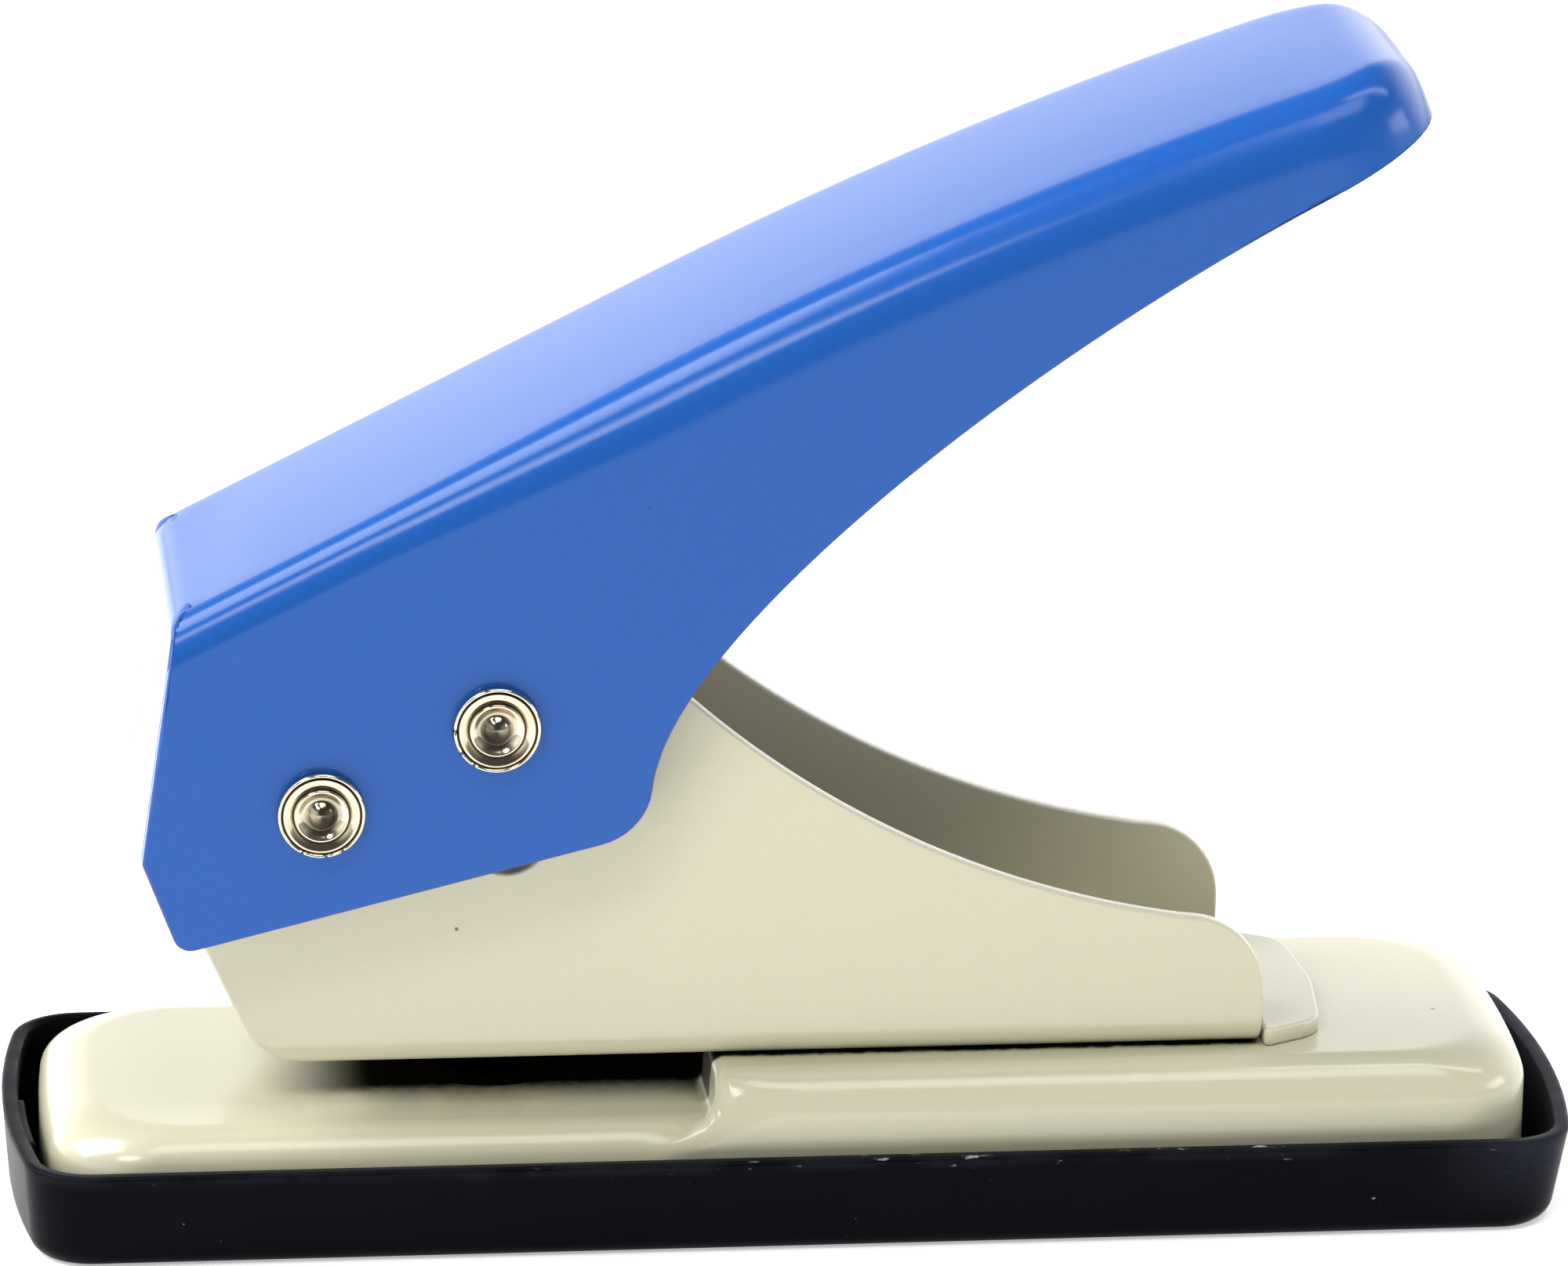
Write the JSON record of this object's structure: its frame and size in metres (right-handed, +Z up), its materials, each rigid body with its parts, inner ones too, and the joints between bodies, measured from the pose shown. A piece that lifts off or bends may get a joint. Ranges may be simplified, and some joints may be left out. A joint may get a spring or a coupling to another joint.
{
  "type": "single hole punch",
  "caption": "Lever-operated desktop hole punch: a pressed blue steel lever on a folded steel frame drives a sprung round punch through paper and a die over a removable chip tray.",
  "frame": {"origin": "centre of the chip tray's flat underside, on the table", "axes": "+X along the length towards the free end of the handle, +Y across the width, +Z up"},
  "size_m": [0.105, 0.0324, 0.0784],
  "materials": {
    "black_plastic": "soft moulded plastic with a faint sheen and a paler, worn rim",
    "putty_enamel": "satin putty-grey enamel on pressed steel",
    "blue_enamel": "glossy blue enamel on pressed steel",
    "nickel": "bright nickel plate",
    "steel": "turned and ground steel",
    "spring_steel": "drawn spring wire and strip",
    "brass": "plain turned brass"
  },
  "bodies": {
    "base": {"base": "putty_enamel", "die_ring": "steel", "frame": "putty_enamel", "frame_rivets": "nickel", "guide_bush": "brass", "return_spring": "spring_steel"},
    "tray": {"chip_tray": "black_plastic"},
    "handle": {"handle": "blue_enamel", "pivot_rivet": "nickel", "pivot_sleeve": "steel", "drive_rivet": "nickel", "drive_sleeve": "steel"},
    "punch": {"punch": "steel", "punch_clip": "spring_steel", "spring_washer": "steel"}
  },
  "joints": [
    {"name": "handle_press", "type": "hinge", "parent": "base", "child": "handle", "pos_m": [-0.032, 0, 0.0304], "axis": [0, 1, 0], "range_deg": [0, 39], "stiffness_Nm_per_rad": 0.27, "springref_deg": -28.65},
    {"name": "punch_slide", "type": "slide", "parent": "base", "child": "punch", "axis": [0, 0, -1], "range_m": [0, 0.00842], "deforming": ["return_spring"]},
    {"name": "tray_release", "type": "slide", "parent": "base", "child": "tray", "axis": [0, 0, -1], "range_m": [0, 0.012]}
  ],
  "couplings": [
    {"joint": "punch_slide", "follows": "handle_press", "m_per_rad": 0.012344}
  ]
}
